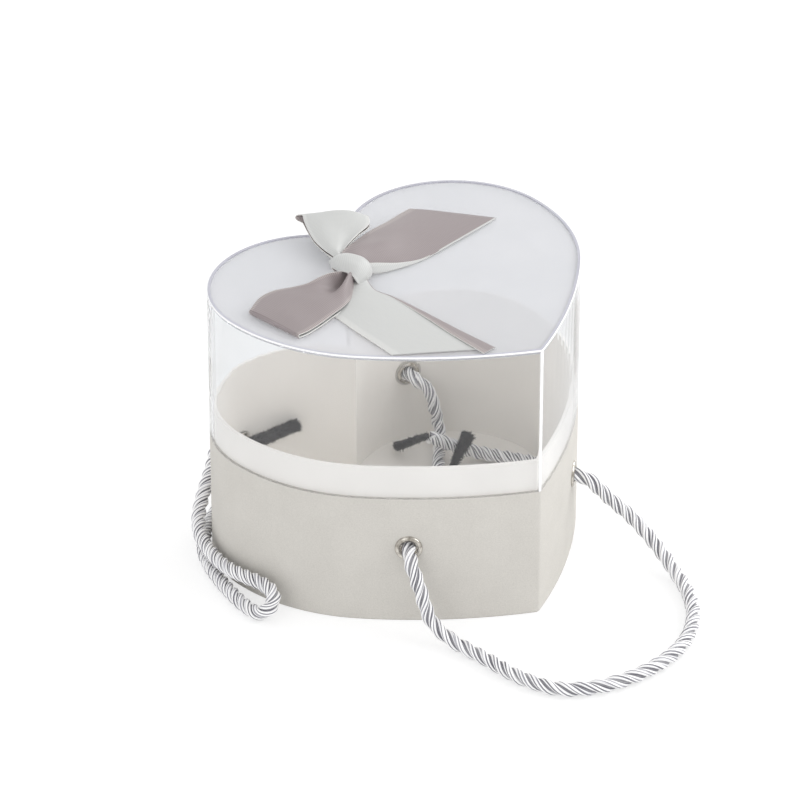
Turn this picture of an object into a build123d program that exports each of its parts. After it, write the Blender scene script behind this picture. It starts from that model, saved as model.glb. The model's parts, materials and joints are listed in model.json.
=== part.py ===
"""Heart gift box: a paper-wrapped board base with a white collar, a clear lift-off lid that
carries a ribbon bow, and two rope handles held in eyelets by toggle bars.

Millimetres, +Z up. The heart's point is towards -Y and its cleft towards +Y. The origin is
in the middle of the footprint, on the surface that the box stands on.
"""
import math
import os

from build123d import *

# Heart outline: a lobe arc, a flank arc and a front arc on each side
box_width = 200.0
box_depth = 174.5
lobe_radius_share = 0.549  # of half the width
flank_radius_share = 0.945  # of half the width
flank_sweep = 43.8  # degrees, from the widest point towards the heart's point
point_round = 2.0
cleft_round = 1.5

# Base: greyboard wall in wrapping paper, base board, white collar and floor card
shell_height = 71.5
wrap_thickness = 0.4
wrap_lift = 0.5
board_thickness = 1.8
base_board_thickness = 2.0
collar_thickness = 1.6
collar_rise = 17.2
floor_card_thickness = 1.0
paste_gap = 0.05

# Clear lid: a wall with a panel set in just below its rim
lid_height = 81.4
lid_wall_thickness = 1.8
panel_thickness = 2.0
rim_step = 0.8
rim_round = 0.5

# Eyelets and their washers
eyelet_height = 43.0
front_eyelet_x = 55.0
back_eyelet_x = 57.0
eyelet_bore_radius = 4.4
eyelet_barrel_wall = 0.6
eyelet_flange_radius = 6.9
eyelet_flange_height = 1.2
eyelet_flange_edge = 0.3
eyelet_lip_radius = 6.1
eyelet_lip_height = 0.9
washer_radius = 7.2
washer_thickness = 0.5
hole_clearance = 0.1

# Rope handles and the toggle bars on their ends
cord_diameter = 8.2
cord_bend_share = 0.45  # of the shorter run beside a corner
toggle_length = 30.0
toggle_thin_radius = 2.2
toggle_thick_radius = 3.6
toggle_round = 1.5

# Ribbon bow
ribbon_width = 40.0
ribbon_thickness = 0.6
bow_from_lobe_x = 19.1  # the knot, from the middle of the left lobe
bow_from_lobe_y = -4.35
knot_length = 21.0
knot_middle_radius = 6.3
knot_end_radius = 4.8
knot_heading = -40.0
pad_radius = 6.0
pad_thickness = 0.8
front_loop_start = 9.1
front_loop_length = 57.3
front_loop_height = 8.0
front_loop_heading = 188.0
back_loop_start = 7.4
back_loop_length = 47.5
back_loop_height = 11.2
back_loop_heading = 55.0
right_tail_start = 10.4
right_tail_length = 73.5
right_tail_height = 6.5
right_tail_heading = 10.5
front_tail_start = 7.4
front_tail_length = 78.5
front_tail_height = 2.2
front_tail_heading = 262.0
tail_cut = 10.6  # how much further the long edge of a tail reaches than its middle

cut_overrun = 3.0

# Places that follow from the sizes above
half_width = box_width / 2
lobe_radius = lobe_radius_share * half_width
flank_radius = flank_radius_share * half_width
lobe_x = half_width - lobe_radius
lobe_y = box_depth / 2 - lobe_radius
flank_x = half_width - flank_radius
point_y = -box_depth / 2
flank_end_normal = Vector(math.cos(math.radians(flank_sweep)), -math.sin(math.radians(flank_sweep)))
flank_end = Vector(flank_x, lobe_y) + flank_end_normal * flank_radius
front_chord = Vector(0, point_y) - flank_end
front_radius = -front_chord.length**2 / (2 * front_chord.dot(flank_end_normal))
front_centre = flank_end - flank_end_normal * front_radius

board_inset = wrap_thickness + paste_gap
shell_thickness = board_inset + board_thickness
collar_inset = shell_thickness + paste_gap
wall_stack = collar_inset + collar_thickness
collar_top = shell_height + collar_rise
floor_top = base_board_thickness + floor_card_thickness
lid_top = shell_height + lid_height
panel_top = lid_top - rim_step
panel_inset = lid_wall_thickness + paste_gap
barrel_radius = eyelet_bore_radius + eyelet_barrel_wall
eyelet_hole_radius = barrel_radius + hole_clearance
bow_x = bow_from_lobe_x - lobe_x
bow_y = bow_from_lobe_y + lobe_y
knot_z = panel_top + pad_thickness + knot_middle_radius

# The handles' routes, from the toggle behind the left eyelet to the one behind the right
front_route = [
    (-48.48, -43.18, 43.0), (-61.19, -57.97, 43.0), (-60, -64, 26), (-57.5, -72, 11),
    (-55.5, -86, 4.2), (-53, -107, 4.1), (-52, -130, 4.1), (-43.5, -152, 4.1),
    (-24, -165, 4.1), (1, -169, 4.1), (27, -165, 4.1), (50, -150.5, 4.1),
    (66, -130, 4.2), (75, -108, 5), (79, -89, 11), (77.5, -73.5, 21),
    (71, -65.5, 33), (60.86, -57.59, 43.0), (45.88, -40.15, 43.0), (46, -26, 37),
    (59, -18, 26.5), (73, -11, 16), (85.6, 0.6, 9.3), (88.2, 9.2, 7.7),
    (80.2, 23.6, 7.1), (75.4, 31.6, 7.2), (70.6, 37.3, 7.9), (65, 41.3, 9.9),
    (58, 44.6, 13.8), (51.4, 47.4, 17.8), (45.2, 50.4, 21.6),
]
back_route = [
    (-54.83, 76.18, 43.0), (-58.63, 93.27, 43.0), (-65.9, 98.0, 40.7), (-77.5, 93.5, 35.5),
    (-88, 81.5, 27.5), (-94.5, 71.5, 17.5), (-102.5, 60, 14), (-110.8, 48, 13),
    (-115, 35, 5.2), (-114, 20, 4.1), (-115, 7, 4.1), (-114.6, -8.1, 4.2),
    (-108.4, -12.7, 9.4), (-102.2, -8.1, 14.6), (-102.8, 4, 15.5), (-105, 16.5, 13.5),
    (-106, 29, 9), (-104.6, 41, 5.2), (-100.8, 54, 4.1), (-93.5, 69, 4.1),
    (-81, 84, 4.1), (-62, 97, 4.1), (-38, 106, 4.1), (-12, 110, 4.1),
    (15, 110, 4.1), (39, 107, 5), (53, 102, 13), (60.5, 99.5, 27),
    (59.17, 95.71, 43.0), (54.83, 76.2, 43.0), (60.2, 69, 37), (62, 67.4, 26),
    (66.3, 68.8, 15.5), (63.6, 63.6, 7.5), (55.9, 55.3, 7.1), (48.5, 47.4, 7.1),
    (38.6, 36.3, 7.1),
]

# How the toggle bars lie: heading and slope in degrees, and the shift to the right of the cord's end as a
# share of the cord's radius
toggle_lay_shares = {
    "front_left": (139.2, 0, 0),
    "front_right": (95.7, -35.8, 0),
    "back_left": (-0.5, 5.2, -0.7),
    "back_right": (21.9, 31.2, -1.2),
}

# Stations along the ribbon pieces: reach as a share of the piece's length, rise as a share of its height,
# width and drift to the left as shares of the ribbon's width
front_loop_shares = [
    (0.0, 0.92, 0.25, 0.08), (0.15, 1.0, 0.45, 0.15), (0.3, 0.9, 0.59, 0.155), (0.43, 0.79, 0.73, 0.14),
    (0.6, 0.67, 1.0, 0.03), (0.76, 0.6, 0.98, 0.07), (0.89, 0.53, 0.93, 0.13), (0.97, 0.48, 0.9, 0.16),
    (0.99, 0.42, 0.89, 0.17), (1.0, 0.29, 0.88, 0.17), (0.99, 0.16, 0.89, 0.17), (0.97, 0.1, 0.9, 0.16),
    (0.89, 0.11, 0.93, 0.13), (0.76, 0.15, 0.98, 0.07), (0.6, 0.25, 1.0, 0.03), (0.43, 0.38, 0.73, 0.14),
    (0.3, 0.45, 0.59, 0.155), (0.15, 0.53, 0.45, 0.15), (0.0, 0.62, 0.25, 0.08),
]
back_loop_shares = [
    (0.0, 0.58, 0.18, 0.12), (0.22, 0.72, 0.22, 0.2), (0.39, 0.85, 0.38, 0.2), (0.54, 0.94, 0.58, 0.175),
    (0.69, 0.98, 0.78, 0.15), (0.81, 1.0, 0.9, 0.13), (0.93, 0.97, 0.96, 0.15), (0.98, 0.89, 0.96, 0.155),
    (1.0, 0.7, 0.96, 0.16), (0.98, 0.51, 0.96, 0.155), (0.93, 0.43, 0.96, 0.15), (0.81, 0.43, 0.9, 0.13),
    (0.69, 0.43, 0.78, 0.15), (0.54, 0.42, 0.58, 0.175), (0.39, 0.4, 0.38, 0.2), (0.22, 0.38, 0.22, 0.2),
    (0.0, 0.36, 0.18, 0.12),
]
right_tail_shares = [
    (0.0, 1.0, 0.36, -0.04), (0.16, 0.93, 0.82, 0.02), (0.36, 0.7, 0.97, 0.035), (0.6, 0.46, 0.99, 0.035),
    (0.78, 0.31, 1.0, 0.045), (1.0, 0.22, 1.0, 0.06),
]
front_tail_shares = [
    (0.0, 1.0, 0.35, -0.08), (0.13, 0.73, 0.6, -0.2), (0.27, 0.55, 0.88, -0.28), (0.45, 0.45, 0.88, -0.23),
    (0.64, 0.41, 0.92, -0.18), (0.75, 0.36, 0.95, -0.15), (1.0, 0.36, 1.0, -0.075),
]

os.makedirs("parts", exist_ok=True)


def write_piece(piece, name):
    """Label a finished piece and write it to its own file."""
    piece.part.label = name
    export_step(piece.part, f"parts/{name}.step")


def front_point(normal_x, inset):
    """A point of the right front arc, from the x of its outward normal."""
    normal = Vector(normal_x, -math.sqrt(1 - normal_x**2))
    return front_centre + normal * (front_radius - inset)


def heart_face(inset):
    """The heart, drawn parallel to the outer outline and inset inside it."""
    cleft_angle = math.degrees(math.acos(-lobe_x / (lobe_radius - inset)))
    point_normal_x = -front_centre.X / (front_radius - inset)
    middle_normal_x = (flank_end_normal.X + point_normal_x) / 2
    with BuildSketch() as face:
        with BuildLine():
            CenterArc((lobe_x, lobe_y), lobe_radius - inset, 0, cleft_angle)
            CenterArc((flank_x, lobe_y), flank_radius - inset, 0, -flank_sweep)
            ThreePointArc(
                front_point(flank_end_normal.X, inset),
                front_point(middle_normal_x, inset),
                front_point(point_normal_x, inset),
            )
            mirror(about=Plane.YZ)
        make_face()
        on_axis = face.vertices().filter_by_position(Axis.X, -paste_gap, paste_gap).sort_by(Axis.Y)
        fillet(on_axis[0], radius=point_round)
        fillet(on_axis[-1], radius=cleft_round)
    return face.sketch


def eyelet_place(x, at_back):
    """Where an eyelet's axis leaves the shell, and the shell's outward normal there."""
    side = math.copysign(1, x)
    if at_back:
        normal_x = (abs(x) - lobe_x) / lobe_radius
        normal = Vector(normal_x, math.sqrt(1 - normal_x**2))
        place = Vector(lobe_x, lobe_y) + normal * lobe_radius
    else:
        normal_x = (abs(x) - front_centre.X) / front_radius
        normal = Vector(normal_x, -math.sqrt(1 - normal_x**2))
        place = front_centre + normal * front_radius
    return Vector(side * place.X, place.Y, eyelet_height), Vector(side * normal.X, normal.Y, 0)


eyelet_places = {
    "front_left": (*eyelet_place(-front_eyelet_x, False), abs(front_radius)),
    "front_right": (*eyelet_place(front_eyelet_x, False), abs(front_radius)),
    "back_left": (*eyelet_place(-back_eyelet_x, True), lobe_radius),
    "back_right": (*eyelet_place(back_eyelet_x, True), lobe_radius),
}

# The four eyelet holes, to be cut through the walls
with BuildPart() as eyelet_holes:
    for place, normal, _ in eyelet_places.values():
        with BuildSketch(Plane(place, z_dir=normal)):
            Circle(eyelet_hole_radius)
    extrude(amount=wall_stack + cut_overrun, both=True)

# Base board
with BuildPart() as base_board:
    with BuildSketch():
        add(heart_face(shell_thickness + paste_gap))
    extrude(amount=base_board_thickness)
write_piece(base_board, "base_board")

# Greyboard wall of the shell
with BuildPart() as shell_board:
    with BuildSketch():
        add(heart_face(board_inset))
        add(heart_face(shell_thickness), mode=Mode.SUBTRACT)
    extrude(amount=shell_height - wrap_thickness - paste_gap)
    add(eyelet_holes.part, mode=Mode.SUBTRACT)
write_piece(shell_board, "shell_board")

# Wrapping paper: up the outside of the wall and over its top edge
with BuildPart() as shell_wrap:
    with BuildSketch(Plane.XY.offset(wrap_lift)):
        add(heart_face(0))
        add(heart_face(wrap_thickness), mode=Mode.SUBTRACT)
    extrude(amount=shell_height - wrap_lift)
    with BuildSketch(Plane.XY.offset(shell_height)):
        add(heart_face(0))
        add(heart_face(shell_thickness), mode=Mode.SUBTRACT)
    extrude(amount=-wrap_thickness)
    add(eyelet_holes.part, mode=Mode.SUBTRACT)
write_piece(shell_wrap, "shell_wrap")

# White collar, standing on the base board inside the shell
with BuildPart() as collar:
    with BuildSketch(Plane.XY.offset(base_board_thickness)):
        add(heart_face(collar_inset))
        add(heart_face(wall_stack), mode=Mode.SUBTRACT)
    extrude(amount=collar_top - base_board_thickness)
    add(eyelet_holes.part, mode=Mode.SUBTRACT)
write_piece(collar, "collar")

# White floor card inside the collar
with BuildPart() as floor_card:
    with BuildSketch(Plane.XY.offset(base_board_thickness)):
        add(heart_face(wall_stack + paste_gap))
    extrude(amount=floor_card_thickness)
write_piece(floor_card, "floor_card")


def eyelet_section(place, normal):
    """A plane through an eyelet's axis: X is up, Y is out along the axis."""
    return Plane(place, x_dir=(0, 0, 1), z_dir=Vector(0, 0, 1).cross(normal))


# Eyelets: a domed flange outside, a barrel through the wall and a rolled lip over the washer
for corner, (place, normal, wall_radius) in eyelet_places.items():
    inner_radius = wall_radius - wall_stack
    washer_seat = wall_stack + inner_radius - math.sqrt(inner_radius**2 - washer_radius**2)
    lip_seat = washer_seat + washer_thickness
    flange_crown_radius = (barrel_radius + eyelet_flange_radius) / 2
    with BuildPart() as washer:
        with BuildSketch(eyelet_section(place, normal)):
            with BuildLine():
                Polyline(
                    (eyelet_hole_radius, -washer_seat),
                    (washer_radius, -washer_seat),
                    (washer_radius, -lip_seat),
                    (eyelet_hole_radius, -lip_seat),
                    close=True,
                )
            make_face()
        revolve(axis=Axis(place, normal))
    write_piece(washer, f"{corner}_washer")

    with BuildPart() as eyelet:
        with BuildSketch(eyelet_section(place, normal)):
            with BuildLine():
                Polyline(
                    (eyelet_bore_radius, eyelet_flange_height - eyelet_flange_edge),
                    (eyelet_bore_radius, -lip_seat - eyelet_lip_height),
                    (barrel_radius, -lip_seat - eyelet_lip_height),
                    (eyelet_lip_radius, -lip_seat - eyelet_flange_edge),
                    (eyelet_lip_radius, -lip_seat),
                    (barrel_radius, -lip_seat),
                    (barrel_radius, 0),
                    (eyelet_flange_radius, 0),
                    (eyelet_flange_radius, eyelet_flange_edge),
                )
                ThreePointArc(
                    (eyelet_flange_radius, eyelet_flange_edge),
                    (flange_crown_radius, eyelet_flange_height),
                    (eyelet_bore_radius, eyelet_flange_height - eyelet_flange_edge),
                )
            make_face()
        revolve(axis=Axis(place, normal))
    write_piece(eyelet, f"{corner}_eyelet")


def bend_radii(route):
    """The largest bends that the runs on either side of each corner leave room for."""
    radii = []
    for before, corner, after in zip(route, route[1:], route[2:]):
        run_in = Vector(corner) - Vector(before)
        run_out = Vector(after) - Vector(corner)
        half_turn = math.radians(run_in.get_angle(run_out)) / 2
        radii.append(cord_bend_share * min(run_in.length, run_out.length) / math.tan(half_turn))
    return radii


# Rope handles: one cord each, from the toggle inside the left eyelet to the one inside the right
for name, route in {"front_handle": front_route, "back_handle": back_route}.items():
    radii = bend_radii(route)
    with BuildPart() as handle:
        with BuildLine() as path:
            FilletPolyline(*route, radius=radii)
        with BuildSketch(Plane(path.line @ 0, z_dir=path.line % 0)):
            Circle(cord_diameter / 2)
        sweep()
    cord_length = path.wire().length
    swept_share = handle.part.volume / (math.pi * cord_diameter**2 / 4 * cord_length)
    print(name, "length", round(cord_length, 1), "volume share", round(swept_share, 4))
    print(name, "bend radii", [round(radius, 1) for radius in radii])
    write_piece(handle, name)


def toggle_axis(route_end, route_before, heading, slope, side_share):
    """The line along a toggle bar, from the middle of its thin end, which lies on the cord's end."""
    onward = (Vector(route_end) - Vector(route_before)).normalized()
    aside = onward.cross(Vector(0, 0, 1)).normalized()
    off_end = onward * (toggle_thin_radius + paste_gap)
    along = Vector(
        math.cos(math.radians(slope)) * math.cos(math.radians(heading)),
        math.cos(math.radians(slope)) * math.sin(math.radians(heading)),
        math.sin(math.radians(slope)),
    )
    return Axis(Vector(route_end) + off_end + aside * (side_share * cord_diameter / 2), along)


# Toggle bars: tapered pegs, turned crosswise on the cords' ends
cord_ends = {
    "front_left": (front_route[0], front_route[1]),
    "front_right": (front_route[-1], front_route[-2]),
    "back_left": (back_route[0], back_route[1]),
    "back_right": (back_route[-1], back_route[-2]),
}
for corner, (route_end, route_before) in cord_ends.items():
    axis = toggle_axis(route_end, route_before, *toggle_lay_shares[corner])
    side = axis.direction.cross(Vector(0, 0, 1))
    with BuildPart() as toggle:
        with BuildSketch(Plane(axis.position, x_dir=axis.direction, z_dir=side)):
            with BuildLine():
                Polyline(
                    (-toggle_thin_radius, 0),
                    (-toggle_thin_radius, toggle_thin_radius),
                    (toggle_length - toggle_thin_radius, toggle_thick_radius),
                    (toggle_length - toggle_thin_radius, 0),
                    close=True,
                )
            make_face()
        revolve(axis=axis)
        fillet(toggle.edges().filter_by(GeomType.CIRCLE), radius=toggle_round)
    write_piece(toggle, f"{corner}_toggle")

# Clear lid wall, standing on the shell's top edge outside the collar
with BuildPart() as lid_wall:
    with BuildSketch(Plane.XY.offset(shell_height)):
        add(heart_face(0))
        add(heart_face(lid_wall_thickness), mode=Mode.SUBTRACT)
    extrude(amount=lid_height)
    fillet(lid_wall.faces().sort_by(Axis.Z)[-1].outer_wire().edges(), radius=rim_round)
write_piece(lid_wall, "lid_wall")

# Clear panel, set in below the rim
with BuildPart() as lid_panel:
    with BuildSketch(Plane.XY.offset(panel_top)):
        add(heart_face(panel_inset))
    extrude(amount=-panel_thickness)
write_piece(lid_panel, "lid_panel")

# Sticky pad that holds the bow on the panel
with BuildPart() as bow_pad:
    with BuildSketch(Plane.XY.offset(panel_top)):
        with Locations((bow_x, bow_y)):
            Circle(pad_radius)
    extrude(amount=pad_thickness)
write_piece(bow_pad, "bow_pad")

# Knot: a barrel of wound ribbon
knot_axis = Vector(math.cos(math.radians(knot_heading)), math.sin(math.radians(knot_heading)))
with BuildPart() as bow_knot:
    knot_side = knot_axis.cross(Vector(0, 0, 1))
    with BuildSketch(Plane((bow_x, bow_y, knot_z), x_dir=knot_axis, z_dir=knot_side)):
        with BuildLine():
            Line((-knot_length / 2, 0), (knot_length / 2, 0))
            Line((knot_length / 2, 0), (knot_length / 2, knot_end_radius))
            ThreePointArc(
                (knot_length / 2, knot_end_radius),
                (0, knot_middle_radius),
                (-knot_length / 2, knot_end_radius),
            )
            Line((-knot_length / 2, knot_end_radius), (-knot_length / 2, 0))
        make_face()
    revolve(axis=Axis((bow_x, bow_y, knot_z), knot_axis))
write_piece(bow_knot, "bow_knot")


def ribbon_section(stations, index, heading, slant):
    """The plane across a ribbon piece at one of its stations, square to its run."""
    before = stations[max(index - 1, 0)]
    after = stations[min(index + 1, len(stations) - 1)]
    slope = math.atan2(after[1] - before[1], after[0] - before[0])
    out = Vector(math.cos(math.radians(heading)), math.sin(math.radians(heading)))
    left = Vector(0, 0, 1).cross(out)
    across = (left + out * slant).normalized()
    onward = out * math.cos(slope) + Vector(0, 0, 1) * math.sin(slope)
    reach, rise, width, drift = stations[index]
    middle = Vector(bow_x, bow_y, panel_top) + out * reach + left * drift + Vector(0, 0, 1) * rise
    return Plane(middle, x_dir=across, z_dir=onward - across * onward.dot(across))


cut_slant = tail_cut / (ribbon_width / 2)
ribbon_pieces = {
    "bow_front_loop": (
        front_loop_shares, front_loop_start, front_loop_length, front_loop_height, front_loop_heading,
        0,
    ),
    "bow_back_loop": (
        back_loop_shares, back_loop_start, back_loop_length, back_loop_height, back_loop_heading,
        0,
    ),
    "bow_right_tail": (
        right_tail_shares, right_tail_start, right_tail_length, right_tail_height, right_tail_heading,
        -cut_slant,
    ),
    "bow_front_tail": (
        front_tail_shares, front_tail_start, front_tail_length, front_tail_height, front_tail_heading,
        cut_slant,
    ),
}

# Loops and tails of the bow, gathered at the knot, with slant-cut tails
for name, (shares, start, length, height, heading, end_slant) in ribbon_pieces.items():
    stations = [
        (start + reach * length, rise * height, width * ribbon_width, drift * ribbon_width)
        for reach, rise, width, drift in shares
    ]
    with BuildPart() as ribbon:
        for index, station in enumerate(stations):
            slant = end_slant if index == len(stations) - 1 else 0
            with BuildSketch(ribbon_section(stations, index, heading, slant)):
                Rectangle(station[2] * math.hypot(1, slant), ribbon_thickness)
        loft(ruled=True)
    write_piece(ribbon, name)
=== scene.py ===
"""Heart gift box with a clear lid, a satin bow and rope handles: looks, light and camera."""

import json
import math
import random

import bmesh
import bpy
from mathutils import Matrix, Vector, noise


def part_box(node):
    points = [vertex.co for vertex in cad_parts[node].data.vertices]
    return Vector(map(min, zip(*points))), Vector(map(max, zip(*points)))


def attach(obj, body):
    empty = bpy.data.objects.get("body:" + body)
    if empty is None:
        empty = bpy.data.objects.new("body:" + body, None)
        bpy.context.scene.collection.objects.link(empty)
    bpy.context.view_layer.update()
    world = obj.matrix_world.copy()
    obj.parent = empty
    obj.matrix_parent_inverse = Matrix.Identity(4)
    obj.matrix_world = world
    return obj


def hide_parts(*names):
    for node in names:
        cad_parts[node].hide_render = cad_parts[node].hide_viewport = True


MM = 0.001

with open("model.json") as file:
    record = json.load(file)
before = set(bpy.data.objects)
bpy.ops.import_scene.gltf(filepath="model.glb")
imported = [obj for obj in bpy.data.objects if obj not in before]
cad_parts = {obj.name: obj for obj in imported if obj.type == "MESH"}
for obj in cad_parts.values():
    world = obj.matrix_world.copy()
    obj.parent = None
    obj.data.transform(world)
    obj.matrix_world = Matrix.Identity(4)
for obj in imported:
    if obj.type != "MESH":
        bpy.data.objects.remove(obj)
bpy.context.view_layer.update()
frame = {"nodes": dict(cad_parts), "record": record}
nodes = frame["nodes"]
scene = bpy.context.scene
scene.view_settings.view_transform = "Standard"

# Camera: a long lens, above and to the left of the heart's point
camera_azimuth = math.radians(-40.113)
camera_elevation = math.radians(30.839)
camera_distance = 2.57867
camera_aside = -0.01364
camera_lift = 0.07272
camera_lens = 225.03
sensor_width = 36
clip_distance = 20


def add_camera():
    """The photograph's view."""
    back = Vector((
        math.sin(camera_azimuth) * math.cos(camera_elevation),
        -math.cos(camera_azimuth) * math.cos(camera_elevation),
        math.sin(camera_elevation),
    ))
    right = Vector((math.cos(camera_azimuth), math.sin(camera_azimuth), 0))
    up = back.cross(right)
    data = bpy.data.cameras.new("view")
    data.sensor_width = sensor_width
    data.lens = camera_lens
    data.clip_end = clip_distance
    camera = bpy.data.objects.new("view", data)
    scene.collection.objects.link(camera)
    camera.location = back * camera_distance + right * camera_aside + up * camera_lift
    camera.rotation_mode = "QUATERNION"
    camera.rotation_quaternion = (-back).to_track_quat("-Z", "Y")
    scene.camera = camera


add_camera()


# Materials


def linear(red, green, blue):
    """A colour as a screen shows it, from 0 to 255, as the shader reads it."""
    shown = [value / 255 for value in (red, green, blue)]
    return (*[v / 12.92 if v <= 0.04045 else ((v + 0.055) / 1.055) ** 2.4 for v in shown], 1.0)


class Wiring:
    """A node tree under construction."""

    def __init__(self, tree):
        self.tree = tree

    def node(self, kind, **settings):
        made = self.tree.nodes.new(kind)
        for key, value in settings.items():
            setattr(made, key, value)
        return made

    def link(self, source, target):
        """Feed a socket from another one, or set it to a plain value."""
        if isinstance(source, bpy.types.NodeSocket):
            self.tree.links.new(source, target)
        elif source is not None:
            target.default_value = source

    def coordinates(self, kind="Object"):
        return self.node("ShaderNodeTexCoord").outputs[kind]

    def split(self, vector):
        made = self.node("ShaderNodeSeparateXYZ")
        self.link(vector, made.inputs[0])
        return made.outputs

    def noise(self, source, scale, detail=2.0, stretch=(1, 1, 1)):
        mapping = self.node("ShaderNodeMapping")
        self.link(source, mapping.inputs["Vector"])
        self.link(stretch, mapping.inputs["Scale"])
        texture = self.node("ShaderNodeTexNoise")
        self.link(mapping.outputs["Vector"], texture.inputs["Vector"])
        self.link(scale, texture.inputs["Scale"])
        self.link(detail, texture.inputs["Detail"])
        return texture.outputs["Fac"]

    def ramp(self, factor, stops):
        made = self.node("ShaderNodeValToRGB")
        elements = made.color_ramp.elements
        while len(elements) < len(stops):
            elements.new(0.5)
        for element, (position, colour) in zip(elements, stops):
            element.position = position
            element.color = colour
        self.link(factor, made.inputs["Fac"])
        return made.outputs["Color"]

    def mix(self, factor, first, second):
        made = self.node("ShaderNodeMix", data_type="RGBA")
        sockets = (made.inputs[0], made.inputs[6], made.inputs[7])
        for value, socket in zip((factor, first, second), sockets):
            self.link(value, socket)
        return made.outputs[2]

    def math(self, operation, first, second=None, third=None):
        made = self.node("ShaderNodeMath", operation=operation)
        for value, socket in zip((first, second, third), made.inputs):
            self.link(value, socket)
        return made.outputs[0]

    def between(self, value, low, high):
        """How far a value is from one limit to another, held between 0 and 1."""
        made = self.node("ShaderNodeMapRange")
        for source, label in ((value, "Value"), (low, "From Min"), (high, "From Max")):
            self.link(source, made.inputs[label])
        return made.outputs["Result"]

    def sight_rays(self):
        """A mask of the rays that show a background: straight, mirrored and through the clear lid."""
        path = self.node("ShaderNodeLightPath")
        seen = self.math("MAXIMUM", path.outputs["Is Camera Ray"], path.outputs["Is Glossy Ray"])
        return self.math("MAXIMUM", seen, path.outputs["Is Transmission Ray"])


class Finish(Wiring):
    """A material under construction: its nodes, its links and its shader."""

    def __init__(self, name):
        self.material = bpy.data.materials.new(name)
        self.material.use_nodes = True
        super().__init__(self.material.node_tree)
        self.shader = self.tree.nodes["Principled BSDF"]
        self.output = self.tree.nodes["Material Output"]

    def set(self, **values):
        for key, value in values.items():
            self.link(value, self.shader.inputs[key.replace("_", " ")])

    def place(self, group, **values):
        """A node group with its own values."""
        made = self.node("ShaderNodeGroup", node_tree=group)
        for key, value in values.items():
            made.inputs[key.replace("_", " ")].default_value = value
        return made.outputs

    def bump(self, height, strength, distance, under=None):
        made = self.node("ShaderNodeBump")
        taken = {"Strength": strength, "Distance": distance, "Height": height, "Normal": under}
        for label, value in taken.items():
            self.link(value, made.inputs[label])
        return made.outputs["Normal"]


def new_group(name, taken, given):
    """An empty node group, with its wiring, its inputs and its outputs."""
    tree = bpy.data.node_groups.new(name, "ShaderNodeTree")
    for label, kind in taken.items():
        tree.interface.new_socket(label, in_out="INPUT", socket_type=f"NodeSocket{kind}")
    for label, kind in given.items():
        tree.interface.new_socket(label, in_out="OUTPUT", socket_type=f"NodeSocket{kind}")
    wiring = Wiring(tree)
    return wiring, wiring.node("NodeGroupInput").outputs, wiring.node("NodeGroupOutput").inputs


# How much of the noise's range the grain's two tones take up
grain_range = (0.32, 0.68)


def fine_grain():
    """Fine grain over slow clouding, between a dark and a light tone."""
    wiring, taken, given = new_group(
        "fine_grain",
        {"Scale": "Float", "Stretch": "Vector", "Cloud Scale": "Float", "Cloud Share": "Float",
         "Dark": "Color", "Light": "Color"},
        {"Color": "Color", "Height": "Float"},
    )
    spot = wiring.coordinates()
    grain = wiring.noise(spot, taken["Scale"], detail=3.0, stretch=taken["Stretch"])
    cloud = wiring.noise(spot, taken["Cloud Scale"], detail=3.0)
    blended = wiring.mix(taken["Cloud Share"], grain, cloud)
    tone = wiring.between(blended, *grain_range)
    wiring.link(wiring.mix(tone, taken["Dark"], taken["Light"]), given["Color"])
    wiring.link(grain, given["Height"])
    return wiring.tree


# Satin: its ribs and threads, and how far out from the ribbon's middle its selvedge and bound edge start
ribs_per_metre = 1000
rib_share = 0.4
thread_share = 0.6
thread_stretch = (420, 90, 1)
weave_range = (0.2, 0.8)
selvedge_reach = (0.42, 0.44)
selvedge_share = 0.4
bound_reach = (0.486, 0.491)
stitch_shares = (0.35, 0.5)


def satin_weave():
    """Satin ribbon: fine cross ribs, long floating threads and a bound edge on either side."""
    wiring, taken, given = new_group(
        "satin_weave",
        {"Dark": "Color", "Light": "Color", "Edge": "Color"},
        {"Color": "Color", "Height": "Float"},
    )
    flat = wiring.coordinates("UV")
    across, along, _ = wiring.split(flat)
    rib = wiring.math("SINE", wiring.math("MULTIPLY", along, math.tau * ribs_per_metre))
    rib = wiring.math("MULTIPLY_ADD", rib, 0.5, 0.5)
    thread = wiring.noise(flat, 1.0, stretch=thread_stretch)
    tone = wiring.math("MULTIPLY_ADD", rib, rib_share, wiring.math("MULTIPLY", thread, thread_share))
    colour = wiring.mix(wiring.between(tone, *weave_range), taken["Dark"], taken["Light"])
    from_middle = wiring.math("ABSOLUTE", wiring.math("SUBTRACT", across, 0.5))
    selvedge = wiring.math("MULTIPLY", wiring.between(from_middle, *selvedge_reach), selvedge_share)
    colour = wiring.mix(wiring.math("MULTIPLY", selvedge, rib), colour, taken["Edge"])
    bound = wiring.between(from_middle, *bound_reach)
    stitch = wiring.math("MULTIPLY_ADD", rib, *stitch_shares)
    colour = wiring.mix(wiring.math("MULTIPLY", bound, stitch), colour, taken["Edge"])
    wiring.link(colour, given["Color"])
    wiring.link(wiring.math("ADD", tone, bound), given["Height"])
    return wiring.tree


grain_group = fine_grain()
satin_group = satin_weave()
even = (1, 1, 1)


def paper_finish():
    """Warm light grey wrapping paper with fine fibres and specks."""
    finish = Finish("wrap_paper")
    grain = finish.place(
        grain_group, Scale=1600, Stretch=even, Cloud_Scale=60, Cloud_Share=0.3,
        Dark=linear(199, 196, 190), Light=linear(212, 209, 203),
    )
    fibre = finish.place(grain_group, Scale=700, Stretch=(1, 1, 0.18))
    under = finish.bump(grain["Height"], strength=0.25, distance=0.1 * MM)
    finish.set(
        Base_Color=grain["Color"], Roughness=0.72, Specular_IOR_Level=0.3,
        Normal=finish.bump(fibre["Height"], strength=0.2, distance=0.1 * MM, under=under),
    )
    return finish.material


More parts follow.
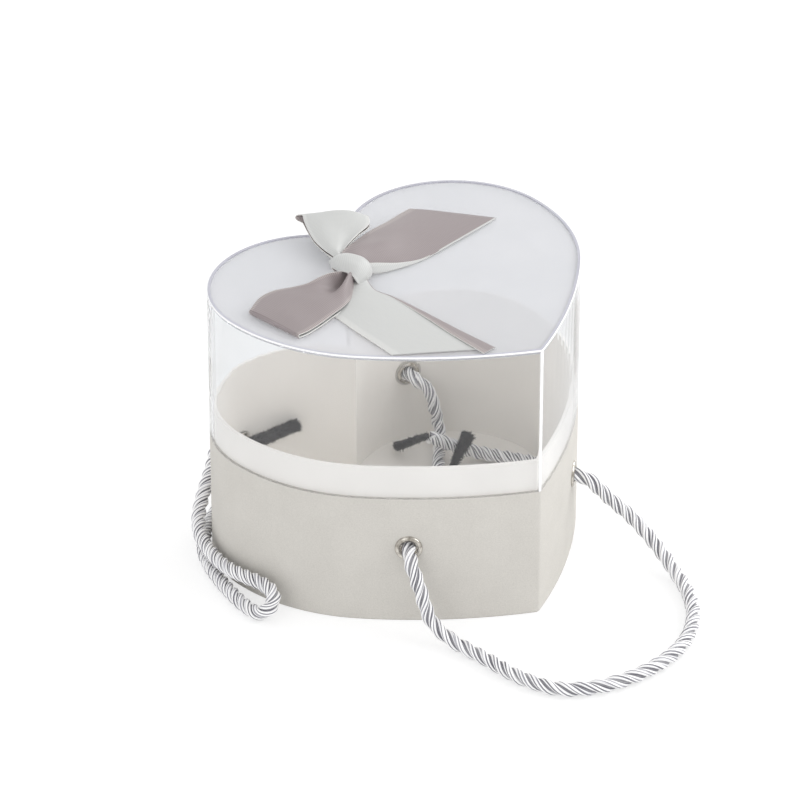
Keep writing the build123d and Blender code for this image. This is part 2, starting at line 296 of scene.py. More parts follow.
def card_finish():
    """Smooth white card."""
    finish = Finish("white_card")
    grain = finish.place(
        grain_group, Scale=1400, Stretch=even, Cloud_Scale=35, Cloud_Share=0.4,
        Dark=linear(243, 240, 235), Light=linear(249, 246, 241),
    )
    finish.set(
        Base_Color=grain["Color"], Roughness=0.5, Specular_IOR_Level=0.35,
        Normal=finish.bump(grain["Height"], strength=0.12, distance=0.08 * MM),
    )
    return finish.material


def board_finish():
    """Plain grey board with recycled flecks."""
    finish = Finish("greyboard")
    grain = finish.place(
        grain_group, Scale=500, Stretch=even, Cloud_Scale=80, Cloud_Share=0.2,
        Dark=linear(166, 160, 151), Light=linear(192, 186, 176),
    )
    finish.set(
        Base_Color=grain["Color"], Roughness=0.85, Specular_IOR_Level=0.2,
        Normal=finish.bump(grain["Height"], strength=0.3, distance=0.15 * MM),
    )
    return finish.material


def nickel_finish(name, dark, light, dullness):
    """Nickel plate, dark and light in soft patches that are painted reflections, with fine rubbing marks.
    """
    finish = Finish(name)
    # The soft dark and light patches are painted reflections of the surroundings
    grain = finish.place(
        grain_group, Scale=900, Stretch=(1, 1, 0.3), Cloud_Scale=240, Cloud_Share=0.75,
        Dark=dark, Light=light,
    )
    finish.set(
        Base_Color=grain["Color"], Metallic=1.0,
        Roughness=finish.math("MULTIPLY_ADD", grain["Height"], 0.16, dullness),
    )
    return finish.material


# Clear plastic: how it darkens edge on, bends light and tints what it lets through
edge_on_range = (0.72, 0.95)
edge_on_colour = linear(128, 127, 127)
clear_ior = 1.15
let_through = (0.985, 0.985, 0.99, 1)

# After this many bounces a ray passes straight through the plastic
most_bounces = 4.5


def clear_finish(name, dark, light, clearness, rub, deepening):
    """Clear glossy plastic with a faint haze, which lets light through to what is inside."""
    finish = Finish(name)
    haze = finish.place(
        grain_group, Scale=25, Stretch=even, Cloud_Scale=9, Cloud_Share=0.5, Dark=dark, Light=light,
    )
    edge_on = finish.node("ShaderNodeLayerWeight").outputs["Facing"]
    shade = finish.math("MULTIPLY", finish.between(edge_on, *edge_on_range), deepening)
    finish.set(
        Base_Color=finish.mix(shade, haze["Color"], edge_on_colour),
        Roughness=finish.math("MULTIPLY_ADD", haze["Height"], 0.02, rub),
        IOR=clear_ior, Transmission_Weight=clearness,
    )
    path = finish.node("ShaderNodeLightPath")
    soft_rays = finish.math("MAXIMUM", path.outputs["Is Shadow Ray"], path.outputs["Is Diffuse Ray"])
    late_rays = finish.math("GREATER_THAN", path.outputs["Ray Depth"], most_bounces)
    through = finish.node("ShaderNodeBsdfTransparent")
    finish.link(let_through, through.inputs["Color"])
    choose = finish.node("ShaderNodeMixShader")
    finish.link(finish.math("MAXIMUM", soft_rays, late_rays), choose.inputs[0])
    finish.link(finish.shader.outputs[0], choose.inputs[1])
    finish.link(through.outputs[0], choose.inputs[2])
    finish.link(choose.outputs[0], finish.output.inputs["Surface"])
    return finish.material


def edge_finish(name, dark, light):
    """The lid's cut edge, where the plastic looks solid, and the near-white painted highlight on its rim.
    """
    finish = Finish(name)
    grain = finish.place(
        grain_group, Scale=700, Stretch=even, Cloud_Scale=40, Cloud_Share=0.5, Dark=dark, Light=light,
    )
    finish.set(Base_Color=grain["Color"], Roughness=0.25, Coat_Weight=0.5)
    return finish.material


# Rope yarns: how many go round a strand, how much lighter each one's ridge is painted as a highlight, and
# the painted shade that darkens the grooves between strands
yarn_count = 6
painted_ridge_highlight = 0.17
streak_stretch = (16, 0.5, 1)
painted_shade_reach = (0.17, 0.3)
painted_shade_share = 0.7
painted_shade_colour = linear(112, 111, 119)


def rope_finish():
    """Silver-white satin yarns that run along each strand, with painted highlights on their ridges and
    painted shade in the grooves between strands.
    """
    finish = Finish("satin_rope")
    yarns = finish.coordinates("UV")
    around, _, _ = finish.split(yarns)
    streak = finish.noise(yarns, 1.0, detail=3.0, stretch=streak_stretch)
    # Painted highlight: each yarn's ridge is lighter, in step with the ridges of the strand's shape
    painted_ridge_mask = finish.math("COSINE", finish.math("MULTIPLY", around, math.tau * yarn_count))
    tone = finish.math("MULTIPLY_ADD", painted_ridge_mask, painted_ridge_highlight, streak)
    # The streaks' near-white is painted highlight and their darkest lines painted shade, over yarn tone
    # that varies at random
    colour = finish.ramp(tone, [
        (0.3, linear(104, 103, 111)),
        (0.4, linear(160, 159, 167)),
        (0.48, linear(236, 236, 239)),
        (0.58, linear(253, 253, 253)),
    ])
    # Painted shade: darker round the strand's sides, where it meets the next strands
    painted_shade_mask = finish.between(finish.math("ABSOLUTE", around), *painted_shade_reach)
    finish.set(
        Base_Color=finish.mix(finish.math("MULTIPLY", painted_shade_mask, painted_shade_share), colour, painted_shade_colour),
        Roughness=0.36, Sheen_Weight=0.2, Sheen_Roughness=0.4,
        Normal=finish.bump(streak, strength=0.25, distance=0.2 * MM),
    )
    return finish.material


def satin_finish(name, dark, light, edge):
    """One face of the ribbon."""
    finish = Finish(name)
    weave = finish.place(satin_group, Dark=dark, Light=light, Edge=edge)
    finish.set(
        Base_Color=weave["Color"], Roughness=0.44, Sheen_Weight=0.12, Sheen_Roughness=0.35,
        Normal=finish.bump(weave["Height"], strength=0.12, distance=0.08 * MM),
    )
    return finish.material


def charcoal_finish():
    """Dark, dull and woolly."""
    finish = Finish("charcoal")
    wool = finish.place(
        grain_group, Scale=1500, Stretch=even, Cloud_Scale=300, Cloud_Share=0.4,
        Dark=linear(36, 36, 38), Light=linear(84, 82, 84),
    )
    finish.set(
        Base_Color=wool["Color"], Roughness=0.85, Specular_IOR_Level=0.25, Sheen_Weight=0.2,
        Normal=finish.bump(wool["Height"], strength=0.6, distance=0.3 * MM),
    )
    return finish.material


def foam_finish():
    """White foam with open pores."""
    finish = Finish("foam")
    pores = finish.place(
        grain_group, Scale=1800, Stretch=even, Cloud_Scale=200, Cloud_Share=0.2,
        Dark=linear(220, 219, 216), Light=linear(241, 240, 237),
    )
    finish.set(
        Base_Color=pores["Color"], Roughness=0.9,
        Normal=finish.bump(pores["Height"], strength=0.5, distance=0.2 * MM),
    )
    return finish.material


clear_wall = clear_finish(
    "clear_wall", linear(240, 241, 242), linear(245, 246, 247),
    clearness=0.97, rub=0.0, deepening=0.75,
)
milky_panel = clear_finish(
    "clear_panel", linear(215, 216, 219), linear(221, 221, 224),
    clearness=0.46, rub=0.01, deepening=0.0,
)
cut_edge = edge_finish("cut_edge", linear(170, 170, 182), linear(192, 192, 202))
# Near-white painted highlight for the lid's rounded rim and its point
painted_highlight_edge = edge_finish("painted_highlight_edge", linear(248, 248, 250), linear(254, 254, 255))
dull_nickel = nickel_finish(
    "dull_nickel", linear(206, 204, 200), linear(226, 224, 221), dullness=0.4
)
bright_nickel = nickel_finish(
    "nickel", linear(142, 136, 127), linear(226, 222, 214), dullness=0.12
)
pearl_satin = satin_finish(
    "pearl_satin", linear(189, 190, 189), linear(203, 204, 202), linear(232, 231, 228)
)
taupe_satin = satin_finish(
    "taupe_satin", linear(138, 129, 130), linear(156, 146, 146), linear(206, 198, 193)
)
finishes = {
    "wrap_paper": paper_finish(),
    "white_card": card_finish(),
    "board": board_finish(),
    "nickel": bright_nickel,
    "clear_plastic": milky_panel,
    "rope": rope_finish(),
    "toggle": charcoal_finish(),
    "pad": foam_finish(),
}

for entry in frame["record"]["subparts"]:
    material = finishes.get(entry["material_slot"])
    if entry["node"].endswith("_washer"):
        material = dull_nickel
    if material:
        mesh = nodes[entry["node"]].data
        mesh.materials.clear()
        mesh.materials.append(material)


merge_distance = 0.001 * MM


def copy_of(node, name, materials):
    """A new piece that starts as a merged copy of a CAD node."""
    mesh = nodes[node].data.copy()
    mesh.materials.clear()
    for material in materials:
        mesh.materials.append(material)
    shape = bmesh.new()
    shape.from_mesh(mesh)
    bmesh.ops.remove_doubles(shape, verts=shape.verts, dist=merge_distance)
    shape.to_mesh(mesh)
    shape.free()
    piece = bpy.data.objects.new(name, mesh)
    scene.collection.objects.link(piece)
    bpy.ops.object.select_all(action="DESELECT")
    piece.select_set(True)
    bpy.context.view_layer.objects.active = piece
    return piece


# Lid wall: clear, with a lavender cut edge on top, and a near-white painted highlight where it is rounded
# and at the heart's point

# How far from the heart's point the painted highlight runs up the wall
point_band = 1.1 * MM
level_normal = 0.98
smooth_angle = math.radians(25)


def add_lid_wall():
    """The lid's wall, cut level with its panel so that the rim above has its own finishes: the cut edge,
    and a painted highlight on its outer faces.
    """
    piece = copy_of("lid_wall", "lid_wall_clear", [clear_wall, cut_edge, painted_highlight_edge])
    panel_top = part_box("lid_panel")[1][2]
    point_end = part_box("lid_wall")[0][1] + point_band
    bpy.ops.object.mode_set(mode="EDIT")
    bpy.ops.mesh.select_all(action="SELECT")
    bpy.ops.mesh.bisect(plane_co=(0, 0, panel_top), plane_no=(0, 0, 1))
    bpy.ops.object.mode_set(mode="OBJECT")
    for face in piece.data.polygons:
        facing_in = face.normal.xy.dot(face.center.xy) < 0
        in_rim = face.center.z > panel_top
        if in_rim and (face.normal.z > level_normal or facing_in):
            face.material_index = 1
        # Painted highlight: near-white on the rim's rounded outer faces and along the heart's point
        elif in_rim or face.center.y < point_end:
            face.material_index = 2
        else:
            face.material_index = 0
    bpy.ops.object.shade_smooth_by_angle(angle=smooth_angle)
    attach(piece, "lid")
    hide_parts("lid_wall")


add_lid_wall()


# Toggle bars: the pegs of the CAD, ragged and bristly

toggle_voxel = 0.55 * MM
rag_depth = 0.6 * MM
rag_scale = 420
tuft_scale = 1300
tuft_share = 0.6
bristle_count = 1400
bristle_width = 0.17 * MM
bristle_lengths = (0.8 * MM, 2.6 * MM)
bristle_rise = (0.3, 0.8)
bristle_lean = (0.3, 1.0)

# Each peg: how far it swells at the cord and at the free end, and its cord end's lift and stretch
toggle_shapes = {
    "front_left_toggle": (0, -0.5 * MM, 0, 0),
    "front_right_toggle": (-1.1 * MM, -1.8 * MM, 0, 0),
    "back_left_toggle": (1.0 * MM, -1.0 * MM, 3.2 * MM, 5.0 * MM),
    "back_right_toggle": (-1.6 * MM, -0.3 * MM, 0, 0),
}


def add_bristles(shape, axis, dice):
    """Short closed spikes that lean along the peg."""
    shape.faces.ensure_lookup_table()
    skin = list(shape.faces)
    for _ in range(bristle_count):
        face = dice.choice(skin)
        centre = face.calc_center_median()
        rise = face.normal * dice.uniform(*bristle_rise)
        lean = (rise + axis * dice.uniform(*bristle_lean)).normalized()
        first = lean.orthogonal().normalized() * bristle_width
        second = lean.cross(first)
        foot = centre - face.normal * bristle_width
        spokes = (first, second - first / 2, -second - first / 2)
        ring = [shape.verts.new(foot + spoke) for spoke in spokes]
        tip = shape.verts.new(centre + lean * dice.uniform(*bristle_lengths))
        shape.faces.new((ring[2], ring[1], ring[0]))
        for index in range(3):
            shape.faces.new((ring[index], ring[(index + 1) % 3], tip))


def add_toggle(node, cord_end):
    """A ragged, bristly peg in place of the plain one."""
    piece = copy_of(node, f"{node}_ragged", [finishes["toggle"]])
    remesh = piece.modifiers.new("skin", "REMESH")
    remesh.mode = "VOXEL"
    remesh.voxel_size = toggle_voxel
    bpy.ops.object.modifier_apply(modifier=remesh.name)
    skin = piece.data.vertices
    reach = max((vertex.co - cord_end for vertex in skin), key=lambda span: span.length)
    axis = reach.normalized()
    swell_near, swell_far, lift, stretch = toggle_shapes[node]
    shift = Vector((0, 0, lift)) - axis * stretch
    moves = []
    for vertex in skin:
        share = (vertex.co - cord_end).dot(axis) / reach.length
        rag = noise.noise(vertex.co * rag_scale) + tuft_share * noise.noise(vertex.co * tuft_scale)
        out = rag_depth * rag + swell_near * (1 - share) + swell_far * share
        moves.append(vertex.co + vertex.normal * out + shift * (1 - share))
    for vertex, place in zip(skin, moves):
        vertex.co = place
    bpy.ops.object.shade_smooth()
    shape = bmesh.new()
    shape.from_mesh(piece.data)
    add_bristles(shape, axis, random.Random(node))
    shape.to_mesh(piece.data)
    shape.free()
    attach(piece, "base")
    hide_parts(node)
    return piece


# Rope handles

strand_count = 3
strand_radius = 1.8 * MM
strand_offset = 1.95 * MM
slim_share = 0.9
slim_run = 30 * MM
strand_sides = 28
yarn_relief = 0.06
route_steps = 12

# How far the yarns' map is shifted from one strand to the next, so that they differ
strand_map_shift = 37.3

# A place past the end of either rope
rope_end = 600 * MM

# The uneven twist: part of a turn, the length that it comes and goes over, and where it starts
wobbles = ((0.06, 17 * MM, 0), (0.05, 41 * MM, 1))

front_route = [
    (-48.48, -43.18, 43.0), (-61.19, -57.97, 43.0), (-59, -65, 26), (-58.6, -71, 11),
    (-55, -86, 4.2), (-51.8, -106.2, 4.1), (-51, -129, 4.1), (-42.8, -151.9, 4.1),
    (-22, -163.4, 4.1), (3, -166.6, 4.1), (28.8, -162.4, 4.1), (51, -148, 4.1),
    (65.4, -128.4, 4.2), (74, -107.2, 5), (78, -88.3, 10.3), (76, -72.5, 19.3),
    (67.6, -63.3, 29.9), (58.9, -55.3, 43.0), (45.88, -40.15, 43.0), (46, -26, 37),
    (59, -18, 26.5), (73, -11, 16), (85.6, 0.6, 9.3), (88.2, 9.2, 7.7),
    (80.2, 23.6, 7.1), (75.4, 31.6, 7.2), (70.6, 37.3, 7.9), (65, 41.3, 9.9),
    (58, 44.6, 13.8), (51.4, 47.4, 17.8), (45.2, 50.4, 21.6),
]
back_route = [
    (-54.83, 76.18, 43.0), (-56.6, 84.2, 43.0), (-57.9, 89.7, 43.0), (-60.2, 93.2, 41.2),
    (-63.2, 93.6, 37.6), (-66.4, 91.3, 33.6), (-70.6, 88.4, 30.0), (-75.8, 85.2, 26.8),
    (-82, 81, 23.2), (-88.2, 76.4, 19), (-94.6, 69.6, 16), (-100.3, 60.2, 14),
    (-103.6, 49.5, 13), (-106.3, 38, 13), (-107.3, 27, 13.4), (-105.8, 16, 14),
    (-103.6, 5, 14.6), (-104, -4.5, 13.6), (-108.4, -8.0, 9.2), (-113.3, -4.0, 4.4),
    (-113.6, 5, 4.1), (-112.4, 16, 4.1), (-109.6, 30, 4.1), (-105.6, 44, 4.1),
    (-100.6, 56.5, 4.1), (-93.4, 67.2, 4.1), (-83.2, 78.2, 4.1), (-70, 87, 4.1),
    (-54, 94.5, 4.1), (-36, 103, 4.1), (-12, 110, 4.1), (15, 110, 4.1),
    (39, 107, 5), (53, 102, 13), (60.5, 99.5, 27), (59.17, 95.71, 43.0),
    (54.83, 76.2, 43.0), (60.2, 69, 37), (62, 67.4, 26), (66.3, 68.8, 15.5),
    (63.6, 63.6, 7.5), (55.9, 55.3, 7.1), (48.5, 47.4, 7.1), (38.6, 36.3, 7.1),
]


def route_line(name, route):
    """Points along the smooth line of a route, read from its spline."""
    data = bpy.data.curves.new(name, "CURVE")
    data.dimensions = "3D"
    spline = data.splines.new("NURBS")
    spline.points.add(len(route) - 1)
    for point, place in zip(spline.points, route):
        point.co = (*[value * MM for value in place], 1)
    spline.order_u = 3
    spline.use_endpoint_u = True
    data.resolution_u = route_steps
    curve = bpy.data.objects.new(name, data)
    scene.collection.objects.link(curve)
    mesh = bpy.data.meshes.new_from_object(curve)
    line = [vertex.co.copy() for vertex in mesh.vertices]
    bpy.data.objects.remove(curve)
    bpy.data.curves.remove(data)
    bpy.data.meshes.remove(mesh)
    return line


def onward_directions(line):
    """The direction of a line at each of its points."""
    before = [line[0]] + line[:-1]
    after = line[1:] + [line[-1]]
    return [(ahead - behind).normalized() for behind, ahead in zip(before, after)]


def carried_frames(line):
    """A pair of cross directions at each point of a line, carried along it without twist."""
    ahead = onward_directions(line)
    first = ahead[0].orthogonal().normalized()
    frames = []
    for onward in ahead:
        first = (first - onward * first.dot(onward)).normalized()
        frames.append((first, onward.cross(first)))
    return frames


def line_lengths(line):
    """How far along a line each of its points is."""
    reached = [0.0]
    for before, after in zip(line, line[1:]):
        reached.append(reached[-1] + (after - before).length)
    return reached


def add_strand(shape, uv_layer, line, outwards, sizes, shift):
    """One closed strand along a line, ridged by its yarns, its map's middle on the rope's outside."""
    reached = line_lengths(line)
    rings = []
    for place, onward, outward, size in zip(line, onward_directions(line), outwards, sizes):
        first = (outward - onward * outward.dot(onward)).normalized()
        second = onward.cross(first)
        ring = []
        for side in range(strand_sides):
            angle = math.tau * side / strand_sides - math.pi
            reach = strand_radius * size * (1 + yarn_relief * math.cos(yarn_count * angle))
            spoke = first * math.cos(angle) + second * math.sin(angle)
            ring.append(shape.verts.new(place + spoke * reach))
        rings.append(ring)
    girth = math.tau * strand_radius
    for index, (ring, following) in enumerate(zip(rings, rings[1:])):
        for side in range(strand_sides):
            nearby = (side + 1) % strand_sides
            face = shape.faces.new((ring[side], ring[nearby], following[nearby], following[side]))
            face.smooth = True
            corners = ((side, index), (side + 1, index), (side + 1, index + 1), (side, index + 1))
            for loop, (turned, step) in zip(face.loops, corners):
                loop[uv_layer].uv = (turned / strand_sides - 0.5, reached[step] / girth + shift)
    shape.faces.new(list(reversed(rings[0])))
    shape.faces.new(rings[-1])


def twist(far, lays):
    """The turns that the strands have made part of the way along, uneven as in a hand-laid rope."""
    turns = 0.0
    for start, end, lay in lays:
        turns += (min(max(far, start), end) - start) / lay
    for size, length, start in wobbles:
        turns += size * math.sin(far / length + start)
    return turns


def add_rope(name, route, lays, slim_from):
    """A three-strand rope along a route, slimmer past one place, and the line that it follows."""
    line = route_line(name, route)
    reached = line_lengths(line)
    frames = carried_frames(line)
    drawn = [min(1.0, max(0.0, (far - slim_from) / slim_run)) for far in reached]
    sizes = [1 + (slim_share - 1) * part for part in drawn]
    shape = bmesh.new()
    uv_layer = shape.loops.layers.uv.new("strand")
    for strand in range(strand_count):
        outwards = []
        for (first, second), far in zip(frames, reached):
            angle = math.tau * (strand / strand_count + twist(far, lays))
            outwards.append(first * math.cos(angle) + second * math.sin(angle))
        laid = []
        for place, outward, size in zip(line, outwards, sizes):
            laid.append(place + outward * strand_offset * size)
        add_strand(shape, uv_layer, laid, outwards, sizes, strand_map_shift * strand)
    mesh = bpy.data.meshes.new(name)
    shape.to_mesh(mesh)
    shape.free()
    mesh.materials.append(finishes["rope"])
    rope = bpy.data.objects.new(name, mesh)
    scene.collection.objects.link(rope)
    return rope, line


# Each stretch of a handle, from its start to its end, and the length of one turn of the strands there
front_lays = [(0, 365 * MM, 26 * MM), (365 * MM, rope_end, 18 * MM)]
back_lays = [(0, 440 * MM, 18 * MM), (440 * MM, rope_end, 27 * MM)]

# Each handle's route, length, lays, the place where it turns slimmer, and its two eyelets
handles = {
    "front_handle": (front_route, 520.3 * MM, front_lays, rope_end, "front_left", "front_right"),
    "back_handle": (back_route, 545.5 * MM, back_lays, 430 * MM, "back_left", "back_right"),
}
for node, (route, length, lays, slim_from, first_side, second_side) in handles.items():
    rope, line = add_rope(f"{node}_rope", route, lays, slim_from)
    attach(rope, "base")
    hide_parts(node)
    toggles = [
        add_toggle(f"{first_side}_toggle", line[0]),
        add_toggle(f"{second_side}_toggle", line[-1]),
    ]


# Ribbon bow: rows across each piece, in millimetres along and across its heading and above the panel

ribbon_thickness = 0.5 * MM
knot_place = Vector((-26.0 * MM, 28.0 * MM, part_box("lid_panel")[1][2]))
lowest_lay = 0.35
layer_gap = 0.9
fold_angles = (45, 90, 135)
pleat_count = 5
pleat_start = 0.6
pleat_run = 0.08

# Turned edges: the width of a fully rounded one, the step round its fold, its rise and its slant
full_turn = 2.5
left_step = Vector((0.4, 0.3, 0.35))
left_rise = 0.8
left_slant = 0.4
right_step = Vector((0, -0.3, 0.35))
right_rise = 0.9


def row(along, edges, heights, bulge=0.0, turned_right=None, turned_left=None):
    """Points across a ribbon, from its right edge to its left one. Either may be turned over on top."""
    points = []
    last = len(heights) - 1
    for index, height in enumerate(heights):
        share = index / last
        out = along[0] + (along[1] - along[0]) * share + bulge * (1 - (2 * share - 1) ** 2)
        points.append(Vector((out, edges[0] + (edges[1] - edges[0]) * share, height)))
    if turned_left is not None:
        fold = points[-1]
        fullness = min(1.0, turned_left / full_turn)
        points.append(fold + left_step * fullness)
        points.append(fold + Vector((left_slant * turned_left, -turned_left, left_rise * fullness)))
    if turned_right is not None:
        fold, inner = points[0], points[1]
        fullness = min(1.0, turned_right / full_turn)
        over = fold.lerp(inner, turned_right / (inner - fold).length)
        points.insert(0, fold + right_step * fullness)
        points.insert(0, over + Vector((0, 0, right_rise * fullness)))
    return points


def looped(rows, gaps, flare=0.0):
    """A loop's rows: out on top, round the fold, whose left end may flare, and back a gap below."""
    under = []
    for points, (gap_right, gap_left) in zip(rows, gaps):
        last = len(points) - 1
        chord = []
        for index, point in enumerate(points):
            share = index / last
            level = (points[0].z - gap_right) * (1 - share) + (points[-1].z - gap_left) * share
            chord.append(Vector((point.x, point.y, min(level, point.z - layer_gap))))
        under.append(chord)
    fold = []
    for degrees in fold_angles:
        angle = math.radians(degrees)
        turn = []
        for top, low in zip(rows[-1], under[-1]):
            reach = (top.z - low.z) / 2 * math.sin(angle)
            turn.append(low.lerp(top, (1 + math.cos(angle)) / 2) + Vector((reach, 0, 0)))
        turn[-1].y += flare * math.sin(angle)
        fold.append(turn)
    return rows + fold + under[::-1]


def on_curve(points, share):
    """A place part of the way along a smooth curve through some points."""
    place = share * (len(points) - 1)
    index = min(int(place), len(points) - 2)
    part = place - index
    start, end = points[index], points[index + 1]
    before = points[max(index - 1, 0)]
    after = points[min(index + 2, len(points) - 1)]
    bend = 2 * before - 5 * start + 4 * end - after
    turn = 3 * start - before - 3 * end + after
    return start + 0.5 * part * (end - before + part * (bend + part * turn))


def add_ribbon(name, heading, rows, faces, grid, pleat=0.0):
    """A ribbon through rows of points, with its upper and lower faces' materials, and its length."""
    out = Vector((math.cos(math.radians(heading)), math.sin(math.radians(heading)), 0))
    left = Vector((-out.y, out.x, 0))
    columns, steps = grid
    bpy.ops.object.select_all(action="DESELECT")
    bpy.ops.mesh.primitive_grid_add(x_subdivisions=columns, y_subdivisions=steps, size=2)
    piece = bpy.context.object
    piece.name = name
    mesh = piece.data
    lines = [list(line) for line in zip(*rows)]
    crossings = [[on_curve(line, step / steps) for line in lines] for step in range(steps + 1)]
    middles = [on_curve(crossing, 0.5) for crossing in crossings]
    reached = line_lengths(middles)
    marks = {}
    for vertex in mesh.vertices:
        share = (1 - vertex.co.x) / 2
        step = round((vertex.co.y + 1) / 2 * steps)
        spot = on_curve(crossings[step], share)
        under = max(0.0, min(1.0, (step / steps - pleat_start) / pleat_run))
        wave = math.sin(math.pi * pleat_count * share) ** 2
        spot.z -= pleat * under * wave * (1 - (2 * share - 1) ** 2)
        marks[vertex.index] = (share, reached[step] * MM)
        vertex.co = knot_place + (out * spot.x + left * spot.y) * MM
        vertex.co.z += max(spot.z, lowest_lay) * MM
    uv_layer = mesh.uv_layers.active.data
    for loop in mesh.loops:
        uv_layer[loop.index].uv = marks[loop.vertex_index]
    for face in faces:
        mesh.materials.append(face)
    wall = piece.modifiers.new("thickness", "SOLIDIFY")
    wall.thickness = ribbon_thickness
    wall.offset = 0
    wall.material_offset = 1
    wall.material_offset_rim = faces.index(pearl_satin)
    bpy.ops.object.modifier_apply(modifier=wall.name)
    bpy.ops.object.shade_smooth()
    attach(piece, "lid")
    return piece, reached[-1] * MM


front_loop_rows = looped(
    [
        row((5, 5), (0, 6), (7, 6, 5.5, 6.5, 5)),
        row((11.5, 6.5), (1, 8), (9.8, 4.4, 2.2, 9.8, 3)),
        row((16, 11), (-1, 11.5), (10, 4.4, 2.2, 9.4, 2.2)),
        row((22, 17), (-2.5, 15.5), (9.4, 5.2, 3.6, 8, 2.4)),
        row((28, 25), (-4.5, 18.5), (7.8, 6.8, 5.6, 5.6, 2.8)),
        row((34, 35), (-9, 20), (6.5, 6.6, 6.2, 5.4, 2.8)),
        row((41.5, 46), (-14.5, 21.5), (5.5, 6, 5.7, 4.7, 2.8)),
        row((50, 55.5), (-16, 22), (4.5, 5, 5.2, 4.5, 2.7)),
        row((59.5, 60.5), (-13, 21), (3.5, 4, 3.8, 3.4, 2.5)),
    ],
    [(2, 1)] * 2 + [(4, 1.2)] * 2 + [(4, 1.7)] + [(3.6, 1.7)] * 2 + [(2.8, 1.7), (2.4, 1.7)],
)
back_loop_rows = looped(
    [
        row((10, 10), (2.5, 6), (6, 6.5, 7, 6.5, 6)),
        row((16, 13.5), (3, 9), (6.5, 7.2, 8.5, 8, 7)),
        row((20.5, 18.5), (-0.5, 12.5), (9.6, 8.2, 9.3, 9.3, 7.5)),
        row((29, 27), (-6.5, 16.5), (10.6, 9.1, 10.4, 10.4, 8)),
        row((34.5, 37), (-10.5, 19), (10.6, 10.8, 11.2, 11, 8.5)),
        row((40, 45.5), (-12.5, 20.5), (10.2, 11.9, 12.3, 11.5, 9.5)),
        row((46, 50), (-12.5, 21), (10, 12.8, 13, 11.7, 10.5)),
    ],
    [(1.2, 1.2)] * 4 + [(1.6, 1.4), (2, 2.4), (2.6, 4.4)],
    flare=3.5,
)
right_tail_rows = [
    row((4, 5.5), (-2, 8.5), (6, 7, 7.5, 7.5, 7), turned_right=1),
    row((8.5, 8), (-4.5, 12.5), (2.5, 7, 9.5, 8.6, 8.2), turned_right=4),
    row((14, 19.5), (-7.5, 14), (1.4, 6.2, 8.8, 9.6, 8.4), turned_right=4),
    row((25, 34.5), (-12, 16.5), (1.2, 5, 7.8, 7.6, 7.4), turned_right=1.6),
    row((39, 50), (-15, 18.5), (0.8, 3.4, 5, 5.8, 5), turned_right=0.1),
    row((60, 62), (-16, 20.5), (1, 2.5, 3.5, 4, 3.5), turned_right=0.05),
    row((94.5, 72), (-16.5, 21.5), (0.9, 1.5, 2, 2.5, 2.5), turned_right=0.05),
]
front_tail_rows = [
    row((8, 11), (-2, 2), (5, 5.5, 6, 5.5, 4.6), turned_left=0.2),
    row((11, 19), (-12, 2), (2, 3, 3.6, 3.2, 2.4), turned_left=0.2),
    row((17, 27), (-27.5, 6), (0.6, 1.4, 2.6, 2.3, 1.6), turned_left=0.5),
    row((30, 38.5), (-27, 9.5), (0.6, 1.5, 2, 1.7, 1), turned_left=1.6),
    row((45.5, 55), (-26, 13), (0.6, 1.2, 1.4, 1.2, 0.8), turned_left=3.2),
    row((59.5, 72.5), (-24.5, 16.5), (0.6, 1, 1.1, 1, 0.7), turned_left=5),
    row((75, 96), (-23, 22), (0.5, 0.6, 0.6, 0.6, 0.6), turned_left=7),
]
knot_rows = [
    row((-5, -7), (-3, 4), (2, 2, 2, 2, 2)),
    row((-10, -11), (2, 6.5), (5.5, 6, 6.5, 6.5, 6)),
    row((-6, -8.5), (-5.5, 5.5), (8, 10, 11, 11, 10), bulge=-0.8),
    row((-2, -3.5), (-9, 5.5), (9, 12, 13, 13, 12), bulge=0.5),
    row((1, 2), (-11.5, 4), (8, 11.5, 12.5, 13, 12), bulge=2),
    row((2.5, 6.5), (-12.5, 3), (6, 9, 10.5, 11, 10.5), bulge=2.9),
    row((3.5, 9.5), (-12.5, 0.5), (4.5, 6.5, 7.5, 8, 8), bulge=2.7),
    row((4, 10), (-11, -3), (3, 4, 4.5, 5, 5), bulge=1.7),
    row((4.5, 8), (-7.5, -2), (2, 2, 2.2, 2.4, 2.4)),
]

# Each piece's heading, rows, upper and lower faces, grid across and along, and depth of pleats underneath
bow_pieces = {
    "bow_front_loop": (188.0, front_loop_rows, (taupe_satin, pearl_satin), (40, 120), 2.4),
    "bow_back_loop": (55.0, back_loop_rows, (pearl_satin, taupe_satin), (40, 100), 3.8),
    "bow_right_tail": (10.5, right_tail_rows, (taupe_satin, pearl_satin), (60, 60), 0.0),
    "bow_front_tail": (262.0, front_tail_rows, (pearl_satin, taupe_satin), (60, 60), 0.0),
}
for node, (heading, rows, faces, grid, pleat) in bow_pieces.items():
    ribbon, length = add_ribbon(f"{node}_satin", heading, rows, faces, grid, pleat)
    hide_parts(node)

knot_heading = -40.0
knot_faces = (pearl_satin, taupe_satin)
knot_grid = (32, 64)
knot, length = add_ribbon("bow_knot_satin", knot_heading, knot_rows, knot_faces, knot_grid)
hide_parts("bow_knot")


# Stage and light: the floor's own brightness makes up what its shade in view lacks to white

floor_size = 12
floor_dark = (0.86, 0.86, 0.86, 1)
floor_light = (0.88, 0.88, 0.88, 1)
floor_in_view = (0.4, 0.4, 0.4, 1)
floor_glow = 0.64
world_strength = 0.94
white = (1, 1, 1, 1)
lamp_aim = Vector((0, 0, 0.08))

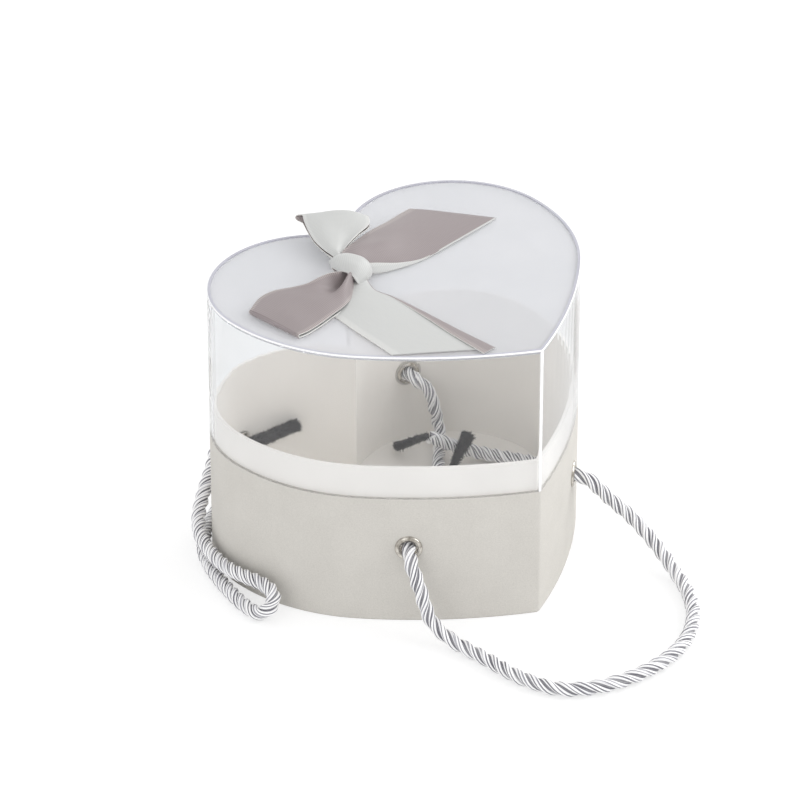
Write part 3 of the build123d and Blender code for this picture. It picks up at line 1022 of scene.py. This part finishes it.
# Each lamp's place, size and power
lamps = {
    "key": ((1.4, -1.7, 1.5), 1.4, 16),
    "fill": ((-2.2, -0.9, 1.3), 1.4, 6),
    "side": ((2.3, 0.1, 1.3), 1.2, 15),
}


def add_floor():
    """A pale floor that keeps the box's shadow."""
    bpy.ops.object.select_all(action="DESELECT")
    bpy.ops.mesh.primitive_plane_add(size=floor_size, location=(0, 0, 0))
    floor = bpy.context.object
    floor.name = "floor"
    finish = Finish("floor")
    cloud = finish.place(
        grain_group, Scale=40, Stretch=even, Cloud_Scale=2, Cloud_Share=0.8,
        Dark=floor_dark, Light=floor_light,
    )
    seen = finish.sight_rays()
    finish.set(
        Base_Color=finish.mix(seen, cloud["Color"], floor_in_view), Roughness=0.9,
        Specular_IOR_Level=0.1,
        Emission_Color=white, Emission_Strength=finish.math("MULTIPLY", seen, floor_glow),
    )
    floor.data.materials.append(finish.material)


def add_lamp(name, place, size, power):
    """A large soft lamp."""
    data = bpy.data.lights.new(name, "AREA")
    data.size = size
    data.energy = power
    lamp = bpy.data.objects.new(name, data)
    scene.collection.objects.link(lamp)
    lamp.location = place
    lamp.rotation_mode = "QUATERNION"
    lamp.rotation_quaternion = (lamp_aim - Vector(place)).to_track_quat("-Z", "Y")


def add_world():
    """Even white surroundings, pure white behind the box."""
    world = bpy.data.worlds.new("studio")
    scene.world = world
    world.use_nodes = True
    wiring = Wiring(world.node_tree)
    light = wiring.tree.nodes["Background"]
    backdrop = wiring.node("ShaderNodeBackground")
    wiring.link(white, light.inputs["Color"])
    wiring.link(white, backdrop.inputs["Color"])
    wiring.link(world_strength, light.inputs["Strength"])
    choose = wiring.node("ShaderNodeMixShader")
    wiring.link(wiring.sight_rays(), choose.inputs[0])
    wiring.link(light.outputs[0], choose.inputs[1])
    wiring.link(backdrop.outputs[0], choose.inputs[2])
    wiring.link(choose.outputs[0], wiring.tree.nodes["World Output"].inputs["Surface"])


add_floor()
add_world()
for name, (place, size, power) in lamps.items():
    add_lamp(name, place, size, power)
